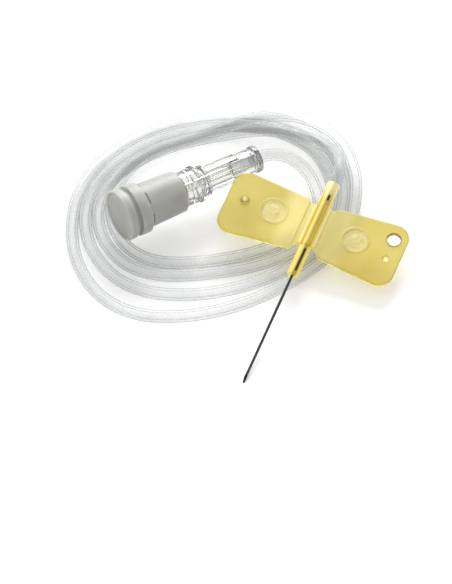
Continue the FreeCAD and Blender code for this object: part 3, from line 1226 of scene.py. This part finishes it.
@dataclass
class Wing:
    """One wing: its plate, and the thin web beside the sleeve."""

    plan: WingPlan
    side: Side
    body: Body
    finish: Finish
    web_finish: Finish

    def build(self) -> None:
        """Build the plate and the web."""
        name = self.body.value
        plate = dress(self.plate(), self.finish)
        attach(plate, name)
        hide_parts(name)
        web = dress(self.web(), self.web_finish)
        ends = [self.hinge_side(-self.plan.bend_reach), self.hinge_side(self.plan.bend_reach)]
        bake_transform(web)

    def hinge_side(self, shift: float) -> Vector:
        """A point beside the hinge's axis, shifted outwards by millimetres."""
        across = self.side.value * (self.plan.hinge_offset + shift)
        return self.plan.place @ Vector((across * MM, self.plan.root_front * MM, 0))

    def roundel_steps(self) -> list[Spot]:
        """Raised ring around a slightly domed field.

        Returns:
            Radius of each circle and its height above the plate.
        """
        plan = self.plan
        outer = plan.roundel_radius
        inner = outer - plan.roundel_ring
        top = plan.roundel_raise
        return [
            (outer + 0.1, 0),
            (outer, top * 0.4),
            (outer - 0.06, top),
            (inner + 0.06, top),
            (inner, top * 0.4),
            (inner - 0.1, 0),
            (inner * 0.8, -0.02),
            (inner * 0.55, -0.02),
            (inner * 0.45, 0.05),
            (inner * 0.2, 0.07),
        ]

    def plate(self) -> bpy.types.Object:
        """The wing's plate with its rounded rim and moulded features.

        Returns:
            The plate.
        """
        builder = WingMesh(self.plan, self.side)
        builder.rim(builder.outline, self.plan.edge_round)
        builder.raised(self.plan.roundel, self.roundel_steps())
        if self.side is Side.RIGHT:
            builder.hole(self.plan.hole, self.plan.hole_radius)
            builder.raised(self.plan.dimple, self.plan.dimple_steps)
        else:
            builder.raised(self.plan.peg, self.plan.peg_steps)
        return finish_mesh(builder.fill(), self.body.value + "_plate", self.plan.place)

    def web(self) -> bpy.types.Object:
        """Thin web from the sleeve to the plate, thickest at its two ends.

        Returns:
            The web.
        """
        mesh = bmesh.new()
        top, bottom = (self.web_face(mesh, face) for face in (1, -1))
        join_loops(mesh, self.web_border(top), self.web_border(bottom))
        bmesh.ops.recalc_face_normals(mesh, faces=mesh.faces)
        return finish_mesh(mesh, self.body.value + "_web", self.plan.place)

    def web_face(self, mesh: bmesh.types.BMesh, face: int) -> list[list[bmesh.types.BMVert]]:
        """Add the web's top or bottom.

        Args:
            mesh: The web's mesh.
            face: 1 for the top, -1 for the bottom.

        Returns:
            Its columns of points, from the sleeve outwards.
        """
        plan = self.plan
        last = plan.web_lines - 1
        grid = []
        for column in range(plan.web_columns):
            share = column / (plan.web_columns - 1)
            x = plan.web_start + (plan.web_end - plan.web_start) * share
            front, back = ((1 - share) * end[0] + share * end[1] for end in (plan.web_front, plan.web_back))
            lean = min(1.0, abs(x - plan.hinge_offset) / (plan.web_end - plan.hinge_offset))
            half = plan.web_thin + (plan.web_thick - plan.web_thin) * lean ** 2
            row = []
            for line in range(plan.web_lines):
                height = face * half * (plan.web_edge if line in (0, last) else 1.0)
                row.append(mesh.verts.new((x * self.side.value, front + (back - front) * line / last, height)))
            grid.append(row)
        for low, high in zip(grid, grid[1:]):
            for index in range(last):
                mesh.faces.new((low[index], low[index + 1], high[index + 1], high[index]))
        return grid

    def web_border(self, grid: list[list[bmesh.types.BMVert]]) -> list[bmesh.types.BMVert]:
        """The points around one face of the web, in order."""
        ahead, back = [row[-1] for row in grid[1:-1]], [row[0] for row in reversed(grid[1:-1])]
        return [*grid[0], *ahead, *reversed(grid[-1]), *back]


# Connector and cap


@dataclass
class Connector:
    """Clear luer connector: tube socket, ribbed body, flange, rim and luer socket."""

    place: Matrix
    rim_radius: float = 2.1
    rim_length: float = 0.8
    body_radius: float = 1.9
    body_end: float = 9.2
    rib_count: int = 8
    rib_half_width: float = 0.2
    rib_fade: float = 0.07
    rib_raise: float = 0.18
    rib_start: float = 3.6
    rib_end_margin: float = 0.15
    rib_end_fade: float = 0.25
    neck_radius: float = 2.1
    flange_radius: float = 2.45
    flange_length: float = 0.55
    flange_pitch: float = 1.4
    luer_rim_radius: float = 2.9
    luer_rim_length: float = 0.5
    luer_radius: float = 2.7
    luer_end: float = 20.7
    luer_depth: float = 7.5
    luer_mouth: float = 2.15
    luer_taper: float = 0.06
    socket_radius: float = 0.97
    socket_depth: float = 5.0
    passage_radius: float = 0.55
    edge_round: float = 0.16
    columns_per_rib: int = 16

    def build(self) -> bpy.types.Object:
        """Build the connector.

        Returns:
            The connector.
        """
        piece = dress(self.piece(), ClearPlastic("connector_plastic", self.place))
        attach(piece, Body.BASE.value)
        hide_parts("luer_connector")
        return piece

    def relief(self, angle: float, place: float) -> float:
        """Grip ribs along the body.

        Args:
            angle: Direction around the connector, 0 at the top.
            place: Place along it, in millimetres.

        Returns:
            Extra radius in millimetres.
        """
        half = (self.body_end - self.rib_start) / 2
        along = bell(place - self.rib_start - half, half - self.rib_end_margin, self.rib_end_fade)
        pitch = 2 * math.pi / self.rib_count
        apart = abs((angle + pitch / 2) % pitch - pitch / 2) * self.body_radius
        return self.rib_raise * bell(apart, self.rib_half_width, self.rib_fade) * along

    def piece(self) -> bpy.types.Object:
        """The connector in one turned piece.

        Returns:
            The connector.
        """
        rim_start = self.body_end + self.flange_pitch
        rim_end = rim_start + self.luer_rim_length
        luer_start = self.luer_end - self.luer_depth
        floor = self.luer_mouth - self.luer_taper * self.luer_depth / 2
        outside = rounded(
            [
                (self.socket_radius, 0),
                (self.rim_radius, 0),
                (self.rim_radius, self.rim_length),
                (self.body_radius, self.rim_length + 0.1),
                (self.body_radius, self.rib_start - 0.2),
                (self.body_radius, self.rib_start + 0.2),
                (self.body_radius, self.body_end - 0.4),
                (self.body_radius, self.body_end),
                (self.flange_radius, self.body_end),
                (self.flange_radius, self.body_end + self.flange_length),
                (self.neck_radius, self.body_end + self.flange_length),
                (self.neck_radius, rim_start),
                (self.luer_rim_radius, rim_start),
                (self.luer_rim_radius, rim_end),
                (self.luer_radius, rim_end + 0.05),
                (self.luer_radius, self.luer_end),
                (self.luer_mouth, self.luer_end),
                (floor, luer_start),
                (self.passage_radius, luer_start),
                (self.passage_radius, self.socket_depth),
                (self.socket_radius, self.socket_depth),
                (self.socket_radius, 0),
            ],
            self.edge_round,
        )[:-1]
        mesh = turned(outside, self.rib_count * self.columns_per_rib, self.relief, self.body_radius - 0.01)
        return finish_mesh(mesh, "luer_connector_body", self.place)


@dataclass
class Cap:
    """Grey push-on cap with two grip rings, short slots and a taper plug."""

    place: Matrix
    open_end: float = 13.9
    length: float = 10.3
    barrel_radius: float = 3.45
    mouth_radius: float = 3.25
    bore_radius: float = 2.8
    bore_end: float = 20.95
    lip_length: float = 1.0
    lip_relief: float = 0.1
    ring_radius: float = 4.0
    ring_one: float = 1.3
    groove: float = 0.75
    ring_two: float = 1.75
    face_rim: float = 0.35
    face_depth: float = 0.3
    slot_count: int = 6
    slot_half_arc: float = math.radians(16.5)
    slot_start: float = math.radians(36)
    slot_width: float = 0.5
    slot_depth: float = 0.3
    # Along the cap in millimetres, and around it in radians
    slot_margins: Spot = (0.06, 0.05)
    slot_fades: Spot = (0.08, 0.06)
    plug_radius: float = 2.03
    plug_tip_radius: float = 1.85
    plug_start: float = 14.7
    pit_radius: float = 0.02
    outer_round: float = 0.14
    inner_round: float = 0.12
    columns: int = 144

    def build(self) -> bpy.types.Object:
        """Build the cap.

        Returns:
            The cap.
        """
        piece = dress(self.piece(), GreyPlastic("cap_plastic"))
        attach(piece, Body.CAP.value)
        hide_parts("luer_cap")
        return piece

    @property
    def face(self) -> float:
        """Where the closed end lies."""
        return self.open_end + self.length

    def slot_relief(self, angle: float, place: float) -> float:
        """Short slots around the barrel beside the second ring.

        Args:
            angle: Direction around the cap, 0 at the top.
            place: Place along it, in millimetres.

        Returns:
            Extra radius in millimetres, below 0 in a slot.
        """
        ring_two_start = self.face - self.ring_one - self.groove - self.ring_two
        half = self.slot_width / 2
        across = bell(place - ring_two_start + half, half - self.slot_margins[0], self.slot_fades[0])
        pitch = 2 * math.pi / self.slot_count
        apart = abs((angle - self.slot_start + pitch / 2) % pitch - pitch / 2)
        around = bell(apart, self.slot_half_arc - self.slot_margins[1], self.slot_fades[1])
        return -self.slot_depth * across * around

    def piece(self) -> bpy.types.Object:
        """The cap in one turned piece, with its slots pressed in.

        Returns:
            The cap.
        """
        ring_one_start = self.face - self.ring_one
        ring_two_end = ring_one_start - self.groove
        ring_two_start = ring_two_end - self.ring_two
        slot_front = ring_two_start - self.slot_width
        lip_end = self.open_end + self.lip_length
        floor = self.face - self.face_depth
        outline = rounded(
            [
                *((self.barrel_radius, slot_front + shift) for shift in (-0.25, -0.08, 0.02, 0.12)),
                *((self.barrel_radius, ring_two_start - shift) for shift in (0.12, 0.02, 0)),
                (self.ring_radius, ring_two_start),
                (self.ring_radius, ring_two_end),
                (self.barrel_radius, ring_two_end),
                (self.barrel_radius, ring_one_start),
                (self.ring_radius, ring_one_start),
                (self.ring_radius, self.face),
                (self.ring_radius - self.face_rim, self.face),
                (self.ring_radius - self.face_rim, floor),
                (0.6, floor),
                (self.pit_radius, floor),
            ],
            self.outer_round,
        )
        inner = rounded(
            [
                (self.pit_radius, self.plug_start),
                (self.plug_tip_radius, self.plug_start),
                (self.plug_radius, self.bore_end),
                (self.bore_radius, self.bore_end),
                (self.bore_radius, lip_end),
                (self.bore_radius + self.lip_relief, lip_end - 0.1),
                (self.bore_radius + self.lip_relief, self.open_end),
                (self.mouth_radius, self.open_end),
                (self.barrel_radius - 0.02, slot_front - 0.25),
            ],
            self.inner_round,
        )[:-1]
        skin = self.bore_radius + self.lip_relief + 0.05
        mesh = turned([*outline, *inner], self.columns, self.slot_relief, skin)
        return finish_mesh(mesh, "luer_cap_body", self.place)


# Tube


@dataclass
class Tubing:
    """Clear tube from the hub, through four loose turns, to the connector.

    The lanes and lifts have a value for each eighth of a turn, from the
    connector's end: how far out the tube lies between an inner and an outer
    oval, and how many tube widths it is raised over the table.
    """

    radius: float = 0.95
    bore_radius: float = 0.6
    length: float = 466.0
    yaw: float = math.radians(21.8)
    inner_centre: Spot = (-17.1, 11.96)
    inner_radii: Spot = (15.35, 11.55)
    outer_centre: Spot = (-16.18, 9.64)
    outer_radii: Spot = (21.0, 20.2)
    points_per_turn: int = 20
    places_per_turn: int = 8
    last_place: int = 31
    spline_order: int = 3
    spline_steps: int = 10
    bevel_steps: int = 20
    bore_margins: Spot = (0.12, 0.1)
    merge_distance: float = 1e-7
    lanes: tuple[float, ...] = (
        0.15, -0.04, 0.00, 0.25, 0.00, -0.14, 0.03, 1.62,
        1.05, 0.70, 0.91, 1.34, 1.06, 0.86, 0.93, 1.38,
        0.75, 0.46, 0.57, 0.86, 0.72, 0.48, 0.60, 0.93,
        0.45, 0.22, 0.22, 0.52, 0.37, 0.09, 0.25, 0.85,
    )
    lifts: tuple[float, ...] = (
        0.00, 0.00, 0.00, 0.00, 0.20, 1.05, 1.30, 1.10,
        0.03, 0.00, 0.00, 0.00, 0.00, 0.00, 0.00, 0.00,
        0.00, 0.00, 0.00, 0.00, 0.00, 0.00, 0.00, 0.00,
        0.00, 0.00, 0.00, 0.00, 0.00, 0.00, 0.00, 1.05,
    )
    lead_in: tuple[Point, ...] = (
        (-15.75, 15.26, 5.47),
        (-13.68, 17.96, 5.32),
        (-11.64, 20.66, 5.16),
        (-9.16, 21.98, 4.45),
        (-6.18, 21.83, 3.25),
        (-3.66, 20.09, 1.95),
    )
    lead_out: tuple[Point, ...] = (
        (-5.24, 26.99, 3.3),
        (-2.74, 25.54, 4.4),
        (-0.94, 23.38, 5.5),
        (0.0, 20.73, 5.93),
        (0.02, 17.47, 5.45),
        (0.0, 14.15, 4.97),
    )

    def smooth_value(self, values: Sequence[float], place: float) -> float:
        """Read a smooth curve through evenly spaced values.

        Args:
            values: The values, one for each whole place.
            place: Where the curve is read.

        Returns:
            The value there.
        """
        index = math.floor(place)
        share = place - index
        last = len(values) - 1
        before, here, after, beyond = (values[max(0, min(last, index + step))] for step in (-1, 0, 1, 2))
        bend = 2 * before - 5 * here + 4 * after - beyond
        twist = 3 * here - before - 3 * after + beyond
        return here + 0.5 * ((after - before) * share + bend * share**2 + twist * share**3)

    def coil_point(self, place: float) -> Point:
        """A point of the coil.

        Args:
            place: How many eighths of a turn it lies from the connector's end.

        Returns:
            The point, in millimetres.
        """
        lane = self.smooth_value(self.lanes, place)
        lift = max(0.0, self.smooth_value(self.lifts, place))
        centre = Vector(self.inner_centre).lerp(Vector(self.outer_centre), lane)
        wide, deep = Vector(self.inner_radii).lerp(Vector(self.outer_radii), lane)
        angle = -2 * math.pi * place / self.places_per_turn
        along = Vector((wide * math.cos(angle), deep * math.sin(angle)))
        spot = centre + Matrix.Rotation(self.yaw, 2) @ along
        return (spot.x, spot.y, 2 * self.radius * (0.5 + lift))

    def route(self) -> list[Point]:
        """Follow the whole tube, from the hub to the connector.

        Returns:
            Points of its middle line, in millimetres.
        """
        steps = round(self.last_place / self.places_per_turn * self.points_per_turn)
        coil = [self.coil_point(self.last_place * step / steps) for step in range(steps + 1)]
        return list(reversed([*self.lead_in, *coil, *self.lead_out]))

    def curve(self, name: str, points: Sequence[Point], radius: float) -> bpy.types.Object:
        """Round tube along a smooth curve with the points as its control points.

        Args:
            name: The piece's name.
            points: The curve's control points, in millimetres.
            radius: The tube's radius in millimetres.

        Returns:
            The curve object.
        """
        data = bpy.data.curves.new(name, "CURVE")
        data.dimensions = "3D"
        spline = data.splines.new("NURBS")
        spline.points.add(len(points) - 1)
        for control, point in zip(spline.points, points):
            control.co = (*(value * MM for value in point), 1)
        spline.order_u = self.spline_order
        spline.use_endpoint_u = True
        spline.resolution_u = self.spline_steps
        data.bevel_depth = radius * MM
        data.bevel_resolution = self.bevel_steps
        data.use_fill_caps = True
        data.twist_mode = "MINIMUM"
        piece = bpy.data.objects.new(name, data)
        bpy.context.scene.collection.objects.link(piece)
        return piece

    def bore(self, points: Sequence[Point]) -> bpy.types.Object:
        """The tube's empty inside, as a surface that faces inwards.

        Args:
            points: The tube's own control points, in millimetres.

        Returns:
            The bore.
        """
        start = Vector(points[1]).lerp(Vector(points[2]), self.bore_margins[0])
        end = Vector(points[-1]).lerp(Vector(points[-2]), self.bore_margins[1])
        inside = [tuple(start), *points[2:-1], tuple(end)]
        guide = self.curve("tubing_bore_guide", inside, self.bore_radius)
        data = bpy.data.meshes.new_from_object(guide.evaluated_get(bpy.context.evaluated_depsgraph_get()))
        bpy.data.objects.remove(guide)
        mesh = bmesh.new()
        mesh.from_mesh(data)
        bmesh.ops.remove_doubles(mesh, verts=mesh.verts, dist=self.merge_distance)
        bmesh.ops.recalc_face_normals(mesh, faces=mesh.faces)
        bmesh.ops.reverse_faces(mesh, faces=mesh.faces)
        mesh.to_mesh(data)
        mesh.free()
        data.shade_smooth()
        data.name = "tubing_bore"
        piece = bpy.data.objects.new("tubing_bore", data)
        bpy.context.scene.collection.objects.link(piece)
        return piece

    def build(self, on_the_tube: Sequence[bpy.types.Object]) -> None:
        """Args:
            on_the_tube: The connector and cap at its far end. Not used.
        """
        points = self.route()
        tube_finish = ClearVinyl("tube_vinyl")
        bore_finish = ClearVinyl("tube_bore_vinyl", middle=0.03, edge=0.8)
        tube = dress(self.curve("tubing", points, self.radius), tube_finish)
        bore = dress(self.bore(points), bore_finish)
        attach(tube, Body.BASE.value)
        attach(bore, Body.BASE.value)
        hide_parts("tubing_coil", "tubing_lead_in", "tubing_lead_out")
        tuple(value * MM for value in points[0])


# Table, light and camera


@dataclass(frozen=True)
class Lamp:
    """Square soft lamp. Its strength is relative to a plain level."""

    name: str
    place: Point
    size_mm: float
    strength: float

    def hang(self, target: Vector) -> None:
        """Hang the lamp so that it faces the object.

        Args:
            target: What it faces, in millimetres.
        """
        place = Vector(self.place)
        data = bpy.data.lights.new(self.name, "AREA")
        data.size = self.size_mm * MM
        data.energy = self.strength * ((place - target).length * MM) ** 2 * math.pi
        lamp = bpy.data.objects.new(self.name, data)
        lamp.location = place * MM
        lamp.rotation_mode = "QUATERNION"
        lamp.rotation_quaternion = (target - place).to_track_quat("-Z", "Y")
        bpy.context.scene.collection.objects.link(lamp)


@dataclass
class Studio:
    """Pale table, soft light from behind and above, and the camera."""

    image_height_mm: float = 87.6
    camera_distance_mm: float = 1500.0
    target: Point = (-8.97, -2.99, 0.0)
    azimuth: float = math.radians(21.8)
    elevation: float = math.radians(50)
    sensor_mm: float = 36.0
    table_size_mm: float = 1600.0
    sky: float = 0.69
    horizon: float = 0.42
    sky_start: float = 0.7
    clip: Spot = (0.05, 20.0)
    lamps: tuple[Lamp, ...] = (
        Lamp("key_lamp", (-120, 330, 250), 240, 2.5),
        Lamp("fill_lamp", (-260, -180, 260), 300, 0.45),
    )

    def build(self) -> None:
        """Build the table, world, lamps and camera."""
        self.table()
        self.world()
        for lamp in self.lamps:
            lamp.hang(Vector(self.target))
        self.camera()

    def table(self) -> None:
        """Flat pale table under the object."""
        mesh = bmesh.new()
        bmesh.ops.create_grid(mesh, x_segments=1, y_segments=1, size=self.table_size_mm / 2)
        table = finish_mesh(mesh, "table", Matrix.Identity(4))
        table.data.materials.append(WhiteTable("table_paint").material())

    def world(self) -> None:
        """White surroundings to the eye, and a softer dome as the light."""
        world = bpy.data.worlds.new("World")
        bpy.context.scene.world = world
        graph = ShaderGraph(world)
        direction = graph.wire("ShaderNodeTexCoord", "Generated")
        height = graph.wire("ShaderNodeSeparateXYZ", "Z", Vector=direction)
        dome = self.horizon + graph.ramp(height, 0.0, self.sky_start) * (self.sky - self.horizon)
        camera = graph.wire("ShaderNodeLightPath", "Is Camera Ray")
        strength = dome + (1 - dome) * camera
        graph.surface(graph.wire("ShaderNodeBackground", 0, Color=WHITE, Strength=strength))

    def camera(self) -> None:
        """Camera at the angle from which the object is shown."""
        data = bpy.data.cameras.new("camera")
        data.sensor_width = self.sensor_mm
        data.lens = self.sensor_mm * self.camera_distance_mm / self.image_height_mm
        data.clip_start, data.clip_end = self.clip
        flat = math.cos(self.elevation)
        back = Vector((flat * math.sin(self.azimuth), -flat * math.cos(self.azimuth), math.sin(self.elevation)))
        camera = bpy.data.objects.new("camera", data)
        camera.location = (Vector(self.target) + back * self.camera_distance_mm) * MM
        camera.rotation_mode = "QUATERNION"
        camera.rotation_quaternion = (-back).to_track_quat("-Z", "Y")
        bpy.context.scene.collection.objects.link(camera)
        bpy.context.scene.camera = camera
        bpy.context.scene.view_settings.view_transform = "Standard"


def main() -> None:
    """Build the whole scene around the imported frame."""
    logging.basicConfig(level=logging.INFO, format="%(message)s")
    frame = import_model()
    guide = FrameGuide(frame)
    Studio().build()

    fitting_place = guide.fitting_place(Connector.luer_end)
    connector = Connector(fitting_place).build()
    cap = Cap(fitting_place).build()
    Tubing().build([connector, cap])

    hub_place = guide.hub_place(Hub.nose_to_mount)
    Hub(hub_place).build(frame["nodes"]["needle_cannula"])
    plan = WingPlan(hub_place)
    finish = WingVinyl("wing_vinyl", plan)
    web_finish = WingVinyl("web_vinyl", plan, thin=(0.98, 0.92, 0.52, 1))
    Wing(plan, Side.LEFT, Body.LEFT_WING, finish, web_finish).build()
    Wing(plan, Side.RIGHT, Body.RIGHT_WING, finish, web_finish).build()


if __name__ == "__main__":
    main()
